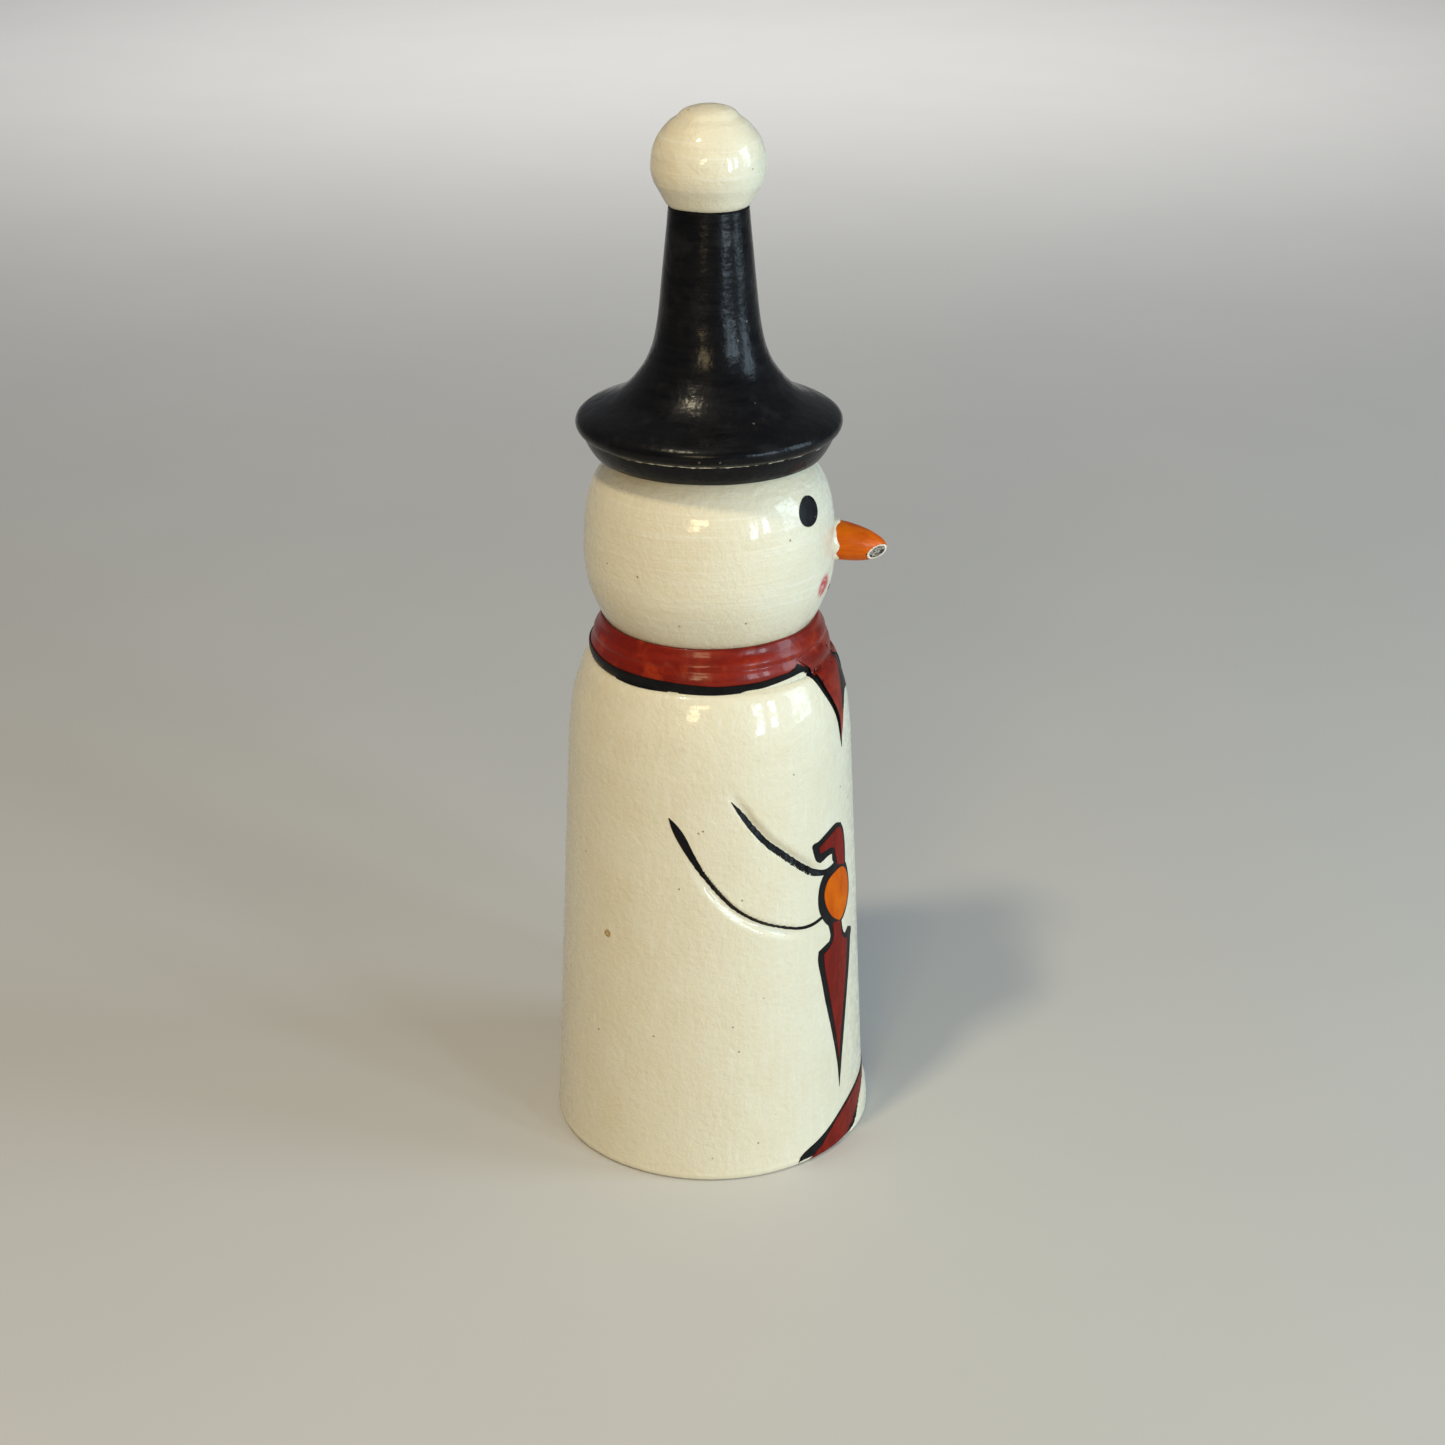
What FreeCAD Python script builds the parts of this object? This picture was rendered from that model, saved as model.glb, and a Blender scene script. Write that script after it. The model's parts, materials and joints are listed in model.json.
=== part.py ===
import FreeCAD, Part
import os
from math import sqrt

# Turned wooden snowman, in millimetres. +Z is up, the front faces -Y, and the origin is the centre of the base
# on the turning axis.

# Driving dimensions: heights above the base, and radii from the turning axis.
base_radius = 46.2
base_bevel = 1.2
waist_radius = 40.2
waist_height = 124.6
shoulder_bow = (38.4, 136.6)
shoulder_radius = 33.2
shoulder_height = 148.0

collar_bow = (32.6, 153.2)
collar_lip_radius = 30.1
collar_top = 159.6
dish_bow = (24.2, 154.9)
dish_radius = 16.0
dish_height = 152.0

head_radius = 34.85
head_middle = 180.5
hat_seat = 206.2
crown_radius = 25.6
cheek_bow = (33.7, 169.6)
crown_bow = (33.3, 194.6)

brim_radius = 36.3
brim_height = 214.8
brim_foot_radius = 31.3
brim_band_bow = (33.3, 209.2)
brim_arris = (34.4, 212.2)
brim_shoulder = (34.6, 217.5)
cone_flare = [(31.2, 219.1), (25.1, 222), (19.1, 228), (15.2, 235.8), (12.8, 252)]
hat_tip_radius = 10.7
hat_top = 273.5

pompom_radius = 15.2
pompom_middle = 283.6
pompom_foot_radius = 11.0
pompom_foot_bow = (14.1, 278.7)
pompom_top_bow = (12.9, 291.9)
pompom_flat_radius = 7.2
pompom_flat_drop = 2.2
figure_height = 299.6

nose_radius = 5.45
nose_length = 14.9
nose_droop = 11.5
nose_height = 180.4
nose_bow = (4.5, 8.64)
nose_blunt = (2.2, 14.2)
nose_sunk = 2.0
chip_slant = 38
chip_start = (3.9, 9.2)
nose_tenon_radius = 3.0
nose_tenon_length = 12.0

neck_dowel_radius = 6.0
hat_dowel_radius = 5.0
pompom_dowel_radius = 3.0
glue_gap = 0.05

# Dowel sockets: how far each one reaches into the two pieces that it joins.
neck_low = shoulder_height - 24
neck_high = dish_height + 18
hat_dowel_low = hat_seat - 16
hat_dowel_high = hat_seat + 24
pompom_dowel_low = hat_top - 14
pompom_dowel_high = hat_top + 13
end_gap = 0.5

toe_height = 8.8
toe_half_width = 25.5
toe_proud = 1.3

# Scarf ends in the front elevation, as distances out from the middle and heights above the base. The left end
# laps over the middle.
scarf_end_proud = 1.5
scarf_tip = (15.6, 124.8)
scarf_outer = [(22.0, 147.9), (19.8, 137.2)]
right_end_inner = [(12.0, 138.0), (5.0, 147.9)]
left_end_inner = [(9.4, 139.6), (-2.6, 147.9)]

axis_up = FreeCAD.Vector(0, 0, 1)


def at(radius, height):
    return FreeCAD.Vector(radius, 0, height)


def line(start, end):
    return Part.LineSegment(start, end).toShape()


def arc(start, through, end):
    return Part.Arc(start, through, end).toShape()


def dome(rim_radius, rim_height, top):
    """A shallow round cap from a rim to the axis, where it ends level."""
    rise = top - rim_height
    ball = (rim_radius**2 + rise**2) / (2 * rise)
    half = 0.5 * rim_radius
    return arc(at(rim_radius, rim_height), at(half, top - ball + sqrt(ball**2 - half**2)), at(0, top))


def smooth(points):
    curve = Part.BSplineCurve()
    curve.interpolate(points)
    return curve.toShape()


def turned(edges):
    """Turns an outline that starts and ends on the axis into a solid."""
    ends = Part.Wire(edges).OrderedVertexes
    along_axis = line(ends[-1].Point, ends[0].Point)
    return Part.Face(Part.Wire(edges + [along_axis])).revolve(FreeCAD.Vector(0, 0, 0), axis_up, 360)


def dowel(radius, low, high):
    """A dowel with its ends chamfered by a tenth of its diameter."""
    rim = 0.2 * radius
    return turned([
        line(at(0, low), at(radius - rim, low)),
        line(at(radius - rim, low), at(radius, low + rim)),
        line(at(radius, low + rim), at(radius, high - rim)),
        line(at(radius, high - rim), at(radius - rim, high)),
        line(at(radius - rim, high), at(0, high)),
    ])


def socket(radius, low, high):
    return Part.makeCylinder(radius + glue_gap, high - low, at(0, low), axis_up)


def front_prism(edges, near=-60, far=-5):
    """Extrudes an outline drawn in the XZ plane from the front of the figure back towards its axis."""
    face = Part.Face(Part.Wire(Part.__sortEdges__(edges)))
    face.translate(FreeCAD.Vector(0, near, 0))
    return face.extrude(FreeCAD.Vector(0, far - near, 0))


def gown_blank(proud):
    """The body's turned shape, made larger all round by proud."""
    return turned([
        line(at(0, 0), at(base_radius - base_bevel + proud, 0)),
        line(at(base_radius - base_bevel + proud, 0), at(base_radius + proud, base_bevel)),
        line(at(base_radius + proud, base_bevel), at(waist_radius + proud, waist_height)),
        arc(
            at(waist_radius + proud, waist_height),
            at(shoulder_bow[0] + proud, shoulder_bow[1]),
            at(shoulder_radius + proud, shoulder_height),
        ),
        line(at(shoulder_radius + proud, shoulder_height), at(0, shoulder_height)),
    ])


def toe_mound():
    """The low rounded toe under the gown's front hem."""
    left = FreeCAD.Vector(-toe_half_width, 0, 0)
    right = FreeCAD.Vector(toe_half_width, 0, 0)
    top = FreeCAD.Vector(0, 0, toe_height)
    return gown_blank(toe_proud).common(front_prism([arc(left, top, right), line(right, left)]))


def make_body():
    body = gown_blank(0).fuse(toe_mound()).removeSplitter()
    return body.cut(socket(neck_dowel_radius, neck_low, shoulder_height))


def dish_edge():
    """The hollow in the collar's top, which the head's underside fills."""
    return arc(at(collar_lip_radius, collar_top), at(*dish_bow), at(dish_radius, dish_height))


def make_collar():
    ring = turned([
        line(at(0, shoulder_height), at(shoulder_radius, shoulder_height)),
        arc(at(shoulder_radius, shoulder_height), at(*collar_bow), at(collar_lip_radius, collar_top)),
        dish_edge(),
        line(at(dish_radius, dish_height), at(0, dish_height)),
    ])
    return ring.cut(socket(neck_dowel_radius, shoulder_height, dish_height))


def scarf_end(side, tip, outer, inner):
    """One pointed end of the scarf, a slip on the chest. side is -1 on the figure's right, 1 on its left."""
    points = [FreeCAD.Vector(side * x, 0, z) for x, z in outer + [tip] + inner]
    corner, outer_bow, point, inner_bow, crossing = points
    outline = [
        arc(corner, outer_bow, point),
        arc(point, inner_bow, crossing),
        line(crossing, corner),
    ]
    return gown_blank(scarf_end_proud).common(front_prism(outline)).cut(gown_blank(0))


def head_blank():
    return turned([
        line(at(0, dish_height), at(dish_radius, dish_height)),
        dish_edge(),
        arc(at(collar_lip_radius, collar_top), at(*cheek_bow), at(head_radius, head_middle)),
        arc(at(head_radius, head_middle), at(*crown_bow), at(crown_radius, hat_seat)),
        line(at(crown_radius, hat_seat), at(0, hat_seat)),
    ])


def nose_placed(shape):
    """Moves a shape made along +Z from the nose's root to its place on the face."""
    tilt = FreeCAD.Rotation(FreeCAD.Vector(1, 0, 0), 90 + nose_droop)
    shape.Placement = FreeCAD.Placement(FreeCAD.Vector(0, -head_radius, nose_height), tilt)
    return shape


def make_head():
    head = head_blank()
    head = head.cut(socket(neck_dowel_radius, dish_height, neck_high))
    head = head.cut(socket(hat_dowel_radius, hat_dowel_low, hat_seat))
    hole = Part.makeCylinder(nose_tenon_radius + glue_gap, nose_tenon_length + 10, at(0, -nose_tenon_length))
    return head.cut(nose_placed(hole))


def make_nose():
    """A whittled carrot with a tenon at its root. Its tip is broken off along a slant on the lower side."""
    carrot = turned([
        line(at(0, -nose_sunk), at(nose_radius, -nose_sunk)),
        line(at(nose_radius, -nose_sunk), at(nose_radius, 0)),
        arc(at(nose_radius, 0), at(*nose_bow), at(*nose_blunt)),
        line(at(*nose_blunt), at(0, nose_length)),
    ])
    block = 4 * nose_radius
    chip = Part.makeBox(block, block, block, FreeCAD.Vector(-0.5 * block, -block, 0))
    chip.rotate(FreeCAD.Vector(0, 0, 0), FreeCAD.Vector(1, 0, 0), -chip_slant)
    chip.translate(FreeCAD.Vector(0, -chip_start[0], chip_start[1]))
    tenon = Part.makeCylinder(nose_tenon_radius, nose_tenon_length, at(0, 0.1 - nose_tenon_length))
    carrot = nose_placed(carrot.cut(chip)).cut(head_blank())
    return carrot.fuse(nose_placed(tenon)).removeSplitter()


def make_hat():
    hat = turned([
        line(at(0, hat_seat), at(brim_foot_radius, hat_seat)),
        arc(at(brim_foot_radius, hat_seat), at(*brim_band_bow), at(*brim_arris)),
        arc(at(*brim_arris), at(brim_radius, brim_height), at(*brim_shoulder)),
        smooth([at(*point) for point in [brim_shoulder, *cone_flare, (hat_tip_radius, hat_top)]]),
        line(at(hat_tip_radius, hat_top), at(0, hat_top)),
    ])
    hat = hat.cut(socket(hat_dowel_radius, hat_seat, hat_dowel_high))
    return hat.cut(socket(pompom_dowel_radius, pompom_dowel_low, hat_top))


def make_pompom():
    foot = at(pompom_foot_radius, hat_top)
    equator = at(pompom_radius, pompom_middle)
    flat_height = figure_height - pompom_flat_drop
    ball = turned([
        line(at(0, hat_top), foot),
        arc(foot, at(*pompom_foot_bow), equator),
        arc(equator, at(*pompom_top_bow), at(pompom_flat_radius, flat_height)),
        dome(pompom_flat_radius, flat_height, figure_height),
    ])
    return ball.cut(socket(pompom_dowel_radius, hat_top, pompom_dowel_high))


nodes = {
    "body": make_body(),
    "scarf_collar": make_collar(),
    "scarf_end_right": scarf_end(-1, scarf_tip, scarf_outer, right_end_inner),
    "scarf_end_left": scarf_end(1, scarf_tip, scarf_outer, left_end_inner),
    "head": make_head(),
    "carrot_nose": make_nose(),
    "hat": make_hat(),
    "pompom": make_pompom(),
    "neck_dowel": dowel(neck_dowel_radius, neck_low + end_gap, neck_high - end_gap),
    "hat_dowel": dowel(hat_dowel_radius, hat_dowel_low + end_gap, hat_dowel_high - end_gap),
    "pompom_dowel": dowel(pompom_dowel_radius, pompom_dowel_low + end_gap, pompom_dowel_high - end_gap),
}

os.makedirs("parts", exist_ok=True)
for name, shape in nodes.items():
    solid = shape.Solids[0] if len(shape.Solids) == 1 else shape
    print(name, len(shape.Solids), "solid, valid", solid.isValid(), "volume", round(solid.Volume), "mm3")
    solid.exportStep("parts/" + name + ".step")
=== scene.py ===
import json
import math

import bpy
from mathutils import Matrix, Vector, noise
from mathutils.geometry import interpolate_bezier

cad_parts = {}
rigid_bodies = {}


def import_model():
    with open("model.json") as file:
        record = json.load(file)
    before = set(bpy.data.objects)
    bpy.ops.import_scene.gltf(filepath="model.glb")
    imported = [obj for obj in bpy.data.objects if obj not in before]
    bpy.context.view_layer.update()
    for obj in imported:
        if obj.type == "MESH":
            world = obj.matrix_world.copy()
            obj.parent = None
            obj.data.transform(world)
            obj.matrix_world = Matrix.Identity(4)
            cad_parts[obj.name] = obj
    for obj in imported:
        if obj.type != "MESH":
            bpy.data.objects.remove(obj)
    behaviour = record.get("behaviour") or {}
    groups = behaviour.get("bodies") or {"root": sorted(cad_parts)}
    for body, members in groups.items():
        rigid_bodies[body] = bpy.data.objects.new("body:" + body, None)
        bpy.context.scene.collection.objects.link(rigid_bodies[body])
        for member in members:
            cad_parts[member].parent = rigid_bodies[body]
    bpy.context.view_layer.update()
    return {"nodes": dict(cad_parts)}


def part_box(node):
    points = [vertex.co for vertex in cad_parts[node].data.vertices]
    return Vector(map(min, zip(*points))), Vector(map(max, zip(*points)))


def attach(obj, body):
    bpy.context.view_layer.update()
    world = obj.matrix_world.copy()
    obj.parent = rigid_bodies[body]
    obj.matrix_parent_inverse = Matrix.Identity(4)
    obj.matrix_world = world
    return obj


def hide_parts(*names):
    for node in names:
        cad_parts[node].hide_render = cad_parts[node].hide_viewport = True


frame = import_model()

mm = 0.001
mergeWithin = 0.01 * mm

# The figure stands on the origin and faces -Y. A turn is in degrees round it, from the middle of its front
# towards its right hand; a height is in millimetres above the shelf.


def deselectAll():
    if bpy.context.object and bpy.context.object.mode != "OBJECT":
        bpy.ops.object.mode_set(mode="OBJECT")
    bpy.ops.object.select_all(action="DESELECT")


def pick(piece):
    deselectAll()
    piece.select_set(True)
    bpy.context.view_layer.objects.active = piece


def editMesh(piece):
    pick(piece)
    bpy.ops.object.mode_set(mode="EDIT")
    bpy.ops.mesh.select_all(action="SELECT")


def finishWith(piece, kind, **settings):
    pick(piece)
    modifier = piece.modifiers.new(kind.title(), kind)
    for name, value in settings.items():
        setattr(modifier, name, value)
    bpy.ops.object.modifier_apply(modifier=modifier.name)


def cleanMesh(piece):
    editMesh(piece)
    bpy.ops.mesh.remove_doubles(threshold=mergeWithin)
    bpy.ops.mesh.normals_make_consistent(inside=False)
    deselectAll()


def smooth(piece, angle=35):
    pick(piece)
    bpy.ops.object.shade_smooth_by_angle(angle=math.radians(angle))


def fade(share):
    share = min(1, max(0, share))
    return share * share * (3 - 2 * share)


def rounded(points, spacing, closed=False):
    # an evenly divided smooth line through a few points, in millimetres
    line = [Vector(point) for point in points]
    if closed:
        line = line[-1:] + line + line[:2]
    else:
        line = [2 * line[0] - line[1]] + line + [2 * line[-1] - line[-2]]
    result = []
    for before, start, end, after in zip(line, line[1:], line[2:], line[3:]):
        third = (end - start).length / 3
        leave = start + (end - before).normalized() * third
        arrive = end - (after - start).normalized() * third
        steps = max(1, round(3 * third / spacing))
        result += interpolate_bezier(start, leave, arrive, end, steps + 1)[:-1]
    return result if closed else result + [line[-2]]


def drawLine(name, points):
    # one vertex, extruded from point to point
    deselectAll()
    bpy.ops.mesh.primitive_plane_add(size=mm, location=Vector(points[0]) * mm)
    piece = bpy.context.object
    piece.name = piece.data.name = name
    bpy.ops.object.transform_apply(location=True, rotation=True, scale=True)
    bpy.ops.object.mode_set(mode="EDIT")
    bpy.ops.mesh.select_all(action="SELECT")
    bpy.ops.mesh.merge(type="CENTER")
    for here, there in zip(points, points[1:]):
        step = (Vector(there) - Vector(here)) * mm
        bpy.ops.mesh.extrude_region_move(TRANSFORM_OT_translate={"value": step})
    bpy.ops.object.mode_set(mode="OBJECT")
    return piece


def turnWood(name, outline, steps):
    # half the outline, as (radius, height) points, turned round the axis as on a lathe
    piece = drawLine(name, [(radius, 0, height) for radius, height in outline])
    finishWith(piece, "SCREW", steps=steps, render_steps=steps, use_merge_vertices=True,
               merge_threshold=mergeWithin)
    cleanMesh(piece)
    return piece


def turnOf(place):
    return math.degrees(math.atan2(-place.x, -place.y))


def placeOn(turn, height, radius):
    angle = math.radians(turn)
    return (-radius * math.sin(angle) * mm, -radius * math.cos(angle) * mm, height * mm)


def relief(piece, name, depth, share, direction="NORMAL"):
    # lifts or sinks the surface by depth where share(turn, height) is 1
    group = piece.vertex_groups.new(name=name)
    for corner in piece.data.vertices:
        weight = share(turnOf(corner.co), corner.co.z / mm)
        if weight > 0.002:
            group.add([corner.index], weight, "REPLACE")
    finishWith(piece, "DISPLACE", strength=depth * mm, mid_level=0, vertex_group=name, direction=direction)
    piece.vertex_groups.clear()


def handTurned(piece, size, depth):
    # the slight waviness that hand tools and thick paint leave
    waves = bpy.data.textures.new(piece.name + "Waves", "CLOUDS")
    waves.noise_scale = size * mm
    waves.noise_depth = 1
    finishWith(piece, "DISPLACE", texture=waves, texture_coords="LOCAL", strength=depth * mm, mid_level=0.5)


def finished(piece, nodes=()):
    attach(piece, "root")
    if nodes:
        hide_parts(*nodes)
    return piece


def socketSize(dowel):
    # radius, low end and high end of the bore that a dowel sits in, with room for glue
    low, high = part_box(dowel)
    sideRoom, endRoom = 0.05, 0.5
    return (high.x - low.x) / 2 / mm + sideRoom, low.z / mm - endRoom, high.z / mm + endRoom


print("stage: frame loaded")


class Reading:
    # the value that leaves a socket; sums on it add Math nodes
    def __init__(self, finish, socket):
        self.finish = finish
        self.socket = socket

    def sum(self, operation, first, second):
        return self.finish.node("ShaderNodeMath", {"operation": operation}, {0: first, 1: second})

    def __add__(self, other):
        return self.sum("ADD", self, other)

    def __radd__(self, other):
        return self.sum("ADD", other, self)

    def __sub__(self, other):
        return self.sum("SUBTRACT", self, other)

    def __rsub__(self, other):
        return self.sum("SUBTRACT", other, self)

    def __mul__(self, other):
        return self.sum("MULTIPLY", self, other)

    def __rmul__(self, other):
        return self.sum("MULTIPLY", other, self)

    def __gt__(self, other):
        return self.sum("GREATER_THAN", self, other)


class Finish:
    # one material: a Principled surface and the nodes that vary it
    def __init__(self, name, **constants):
        self.material = bpy.data.materials.new(name)
        self.material.use_nodes = True
        self.tree = self.material.node_tree
        self.surface = next(n for n in self.tree.nodes if n.type == "BSDF_PRINCIPLED")
        for socket, value in constants.items():
            self.surface.inputs[socket.replace("_", " ")].default_value = value
        self.place = self.node("ShaderNodeTexCoord", out="Object")

    def node(self, kind, settings=None, values=None, out=0):
        made = self.tree.nodes.new(kind)
        for name, value in (settings or {}).items():
            setattr(made, name, value)
        for name, value in (values or {}).items():
            self.feed(made.inputs[name], value)
        return Reading(self, made.outputs[out])

    def feed(self, socket, value):
        if isinstance(value, Reading):
            self.tree.links.new(value.socket, socket)
        else:
            socket.default_value = value

    def set(self, socket, value):
        self.feed(self.surface.inputs[socket], value)

    def stretched(self, scale, shift=(0, 0, 0)):
        values = {"Vector": self.place, "Scale": scale, "Location": shift}
        return self.node("ShaderNodeMapping", None, values)

    def cloudy(self, scale, shift=(0, 0, 0), detail=3.0, roughness=0.55):
        place = self.stretched(scale, shift)
        values = {"Vector": place, "Scale": 1.0, "Detail": detail, "Roughness": roughness}
        return self.node("ShaderNodeTexNoise", None, values)

    def between(self, value, low, high):
        values = {"Value": value, "From Min": low, "From Max": high}
        return self.node("ShaderNodeMapRange", {"interpolation_type": "SMOOTHSTEP"}, values)

    def mix(self, share, first, second, blend="MIX"):
        settings = {"data_type": "RGBA", "blend_type": blend}
        return self.node("ShaderNodeMix", settings, {0: share, 6: first, 7: second}, out=2)

    def specks(self, size, share, seed):
        # small round spots, a few to the square centimetre
        cells = self.stretched((1 / size, 1 / size, 1 / size), (seed, seed / 2, seed / 3))
        near = self.node("ShaderNodeTexVoronoi", None, {"Vector": cells, "Scale": 1.0})
        lot = self.node("ShaderNodeTexVoronoi", None, {"Vector": cells, "Scale": 1.0}, out="Color")
        chance = self.node("ShaderNodeSeparateColor", None, {"Color": lot})
        return self.between(near, 0.14, 0.09) * (chance > 1 - share)

    def nearPoint(self, point, radius, edge):
        # 1 inside a ball round the point, fading over the edge
        values = {0: self.place, 1: point}
        away = self.node("ShaderNodeVectorMath", {"operation": "DISTANCE"}, values, out="Value")
        return self.between(away, (radius + edge) * mm, (radius - edge) * mm)

    def bump(self, height, depth, under=None):
        values = {"Height": height, "Distance": depth * mm, "Strength": 1.0}
        if under:
            values["Normal"] = under
        return self.node("ShaderNodeBump", None, values)


def rgb(red, green, blue):
    return (red, green, blue, 1.0)


whitePaint = {
    "colour": rgb(0.75, 0.70, 0.54),
    "warm": rgb(0.70, 0.61, 0.42),
    "pale": rgb(0.84, 0.82, 0.74),
    "pore": rgb(0.16, 0.11, 0.06),
    "poreSize": 0.0026,
    "dust": rgb(0.42, 0.33, 0.2),
    "dustSize": 0.0016,
    "roughness": 0.30,
    "specular": 0.25,
    "thinCoat": 0.08,
    "coatGain": 0.62,
    "coatRoughness": 0.085,
    "lumpDepth": 0.32,
}


def whiteEnamel(name, brush, brushDepth, contrast, poreShare, seed, spotsAndShade=()):
    finish = Finish(name, Coat_Roughness=whitePaint["coatRoughness"],
                    Specular_IOR_Level=whitePaint["specular"])
    patches = finish.cloudy((60, 60, 60), (seed, 0, 0), detail=4.0)
    streaks = finish.cloudy(brush, (0, seed, 0), detail=5.0, roughness=0.65)
    fine = finish.cloudy(tuple(2.7 * s for s in brush), (0, 0, seed), detail=2.0)
    body = finish.mix(finish.between(patches, 0.35, 0.75) * 0.4, whitePaint["colour"], whitePaint["warm"])
    body = finish.mix(finish.between(streaks, 0.50, 0.74) * contrast, body, whitePaint["pale"])
    body = finish.mix(finish.between(streaks, 0.46, 0.28) * contrast, body, whitePaint["warm"])
    pores = finish.specks(whitePaint["poreSize"], poreShare, seed)
    dust = finish.specks(whitePaint["dustSize"], poreShare * 0.8, seed + 5)
    body = finish.mix(pores * 0.7, body, whitePaint["pore"])
    body = finish.mix(dust * 0.45, body, whitePaint["dust"])
    # soft spots mixed into the colour; one of them is painted shade under the head
    for point, radius, edge, colour, strength in spotsAndShade:
        patchy = finish.between(finish.cloudy((900, 900, 900), (seed, seed, 0)), 0.1, 0.6)
        body = finish.mix(finish.nearPoint(point, radius, edge) * patchy * strength, body, colour)
    finish.set("Base Color", body)
    finish.set("Roughness", whitePaint["roughness"] + 0.14 * streaks + 0.2 * pores)
    marks = streaks * 0.6 + fine * 0.4 - pores * 2.5
    lumps = finish.cloudy((520, 520, 520), (seed, 0, seed), detail=4.0, roughness=0.6)
    finish.set("Normal", finish.bump(marks, brushDepth, finish.bump(lumps, whitePaint["lumpDepth"])))
    dull = finish.cloudy((330, 330, 330), (0, seed, seed), detail=5.0, roughness=0.7)
    coated = finish.between(dull, 0.38, 0.58)
    finish.set("Coat Weight", whitePaint["thinCoat"] + whitePaint["coatGain"] * coated)
    return finish.material


def wornEdge(finish, chips):
    # a broken line of chips at one height, on the side of the figure that they look towards
    level = finish.node("ShaderNodeSeparateXYZ", None, {"Vector": finish.place}, out="Z")
    wander = finish.cloudy((90, 90, 0), (2, 7, 0), detail=2.0) * 1.6 * mm
    ragged = finish.cloudy((420, 420, 900), (5, 1, 0), detail=4.0, roughness=0.7) * chips["tall"] * mm
    middle = (chips["height"] - 0.8) * mm
    away = finish.node("ShaderNodeMath", {"operation": "ABSOLUTE"}, {0: level - middle - wander})
    line = finish.between(away + ragged, chips["tall"] * 0.72 * mm, chips["tall"] * 0.55 * mm)
    gaps = finish.between(finish.cloudy((210, 210, 0), (9, 3, 0), detail=3.0), 0.40, 0.52)
    values = {0: finish.place, 1: chips["towards"]}
    facing = finish.node("ShaderNodeVectorMath", {"operation": "DOT_PRODUCT"}, values, out="Value")
    return line * gaps * finish.between(facing, 0.55 * chips["reach"] * mm, chips["reach"] * mm)


colourDustSize = 0.0030


def colourEnamel(name, paint, brush, seed, chips=None):
    # thick coloured enamel: streaky, darker where it is thin
    finish = Finish(name, Coat_Weight=paint["coat"], Coat_Roughness=paint["coatRoughness"],
                    Specular_IOR_Level=paint["specular"])
    streaks = finish.cloudy(brush, (seed, 0, 0), detail=5.0, roughness=0.6)
    patches = finish.cloudy((150, 150, 150), (0, seed, 0), detail=3.0)
    colour = finish.mix(finish.between(streaks, 0.3, 0.7), paint["deep"], paint["colour"])
    colour = finish.mix(finish.between(patches, 0.5, 0.8) * paint["cloudiness"], colour, paint["pale"])
    dust = finish.specks(colourDustSize, paint["dust"], seed)
    colour = finish.mix(dust * 0.7, colour, paint["dustColour"])
    if chips:
        colour = finish.mix(wornEdge(finish, chips), colour, chips["colour"])
    finish.set("Base Color", colour)
    finish.set("Roughness", paint["roughness"] + 0.18 * streaks)
    lumps = finish.cloudy((300, 300, 300), (seed, seed, 0), detail=2.0)
    finish.set("Normal", finish.bump(streaks, paint["depth"], finish.bump(lumps, 0.2)))
    return finish.material


redPaint = {
    "colour": rgb(0.20, 0.012, 0.007),
    "deep": rgb(0.14, 0.008, 0.005),
    "pale": rgb(0.25, 0.018, 0.009),
    "cloudiness": 0.5,
    "dust": 0.02,
    "dustColour": rgb(0.5, 0.3, 0.25),
    "coat": 0.0,
    "specular": 0.07,
    "coatRoughness": 0.10,
    "roughness": 0.30,
    "depth": 0.06,
}
blackPaint = {
    "colour": rgb(0.006, 0.006, 0.007),
    "deep": rgb(0.003, 0.003, 0.004),
    "pale": rgb(0.016, 0.016, 0.018),
    "cloudiness": 0.6,
    "dust": 0.0,
    "dustColour": rgb(0.5, 0.48, 0.42),
    "coat": 0.0,
    "specular": 0.12,
    "coatRoughness": 0.16,
    "roughness": 0.30,
    "depth": 0.04,
}
orangePaint = {
    "colour": rgb(0.62, 0.115, 0.001),
    "deep": rgb(0.50, 0.075, 0.001),
    "pale": rgb(0.68, 0.16, 0.002),
    "cloudiness": 0.6,
    "dust": 0.0,
    "dustColour": rgb(0.9, 0.7, 0.5),
    "coat": 0.0,
    "specular": 0.05,
    "coatRoughness": 0.14,
    "roughness": 0.32,
    "depth": 0.05,
}
hatPaint = blackPaint | {
    "dust": 0.05,
    "dustColour": rgb(0.12, 0.11, 0.09),
    "specular": 0.14,
    "roughness": 0.15,
    "depth": 0.05,
}
ringPaint = redPaint | {
    "colour": rgb(0.23, 0.012, 0.003),
    "deep": rgb(0.15, 0.007, 0.002),
    # the pale patches are brighter and more orange: partly real unevenness of the paint, partly painted
    # warm highlight on the ring
    "pale": rgb(0.40, 0.042, 0.008),
    "cloudiness": 0.9,
    "coat": 0.16,
    "specular": 0.16,
    "roughness": 0.24,
}
carrotMix = orangePaint | {"colour": rgb(0.68, 0.125, 0.001), "coat": 0.10, "specular": 0.12}
brimChips = {
    "height": 212.4,
    "tall": 0.9,
    "towards": (-0.98, -0.20, 0.0),
    "reach": 31.0,
    "colour": rgb(0.62, 0.57, 0.46),
}


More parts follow.
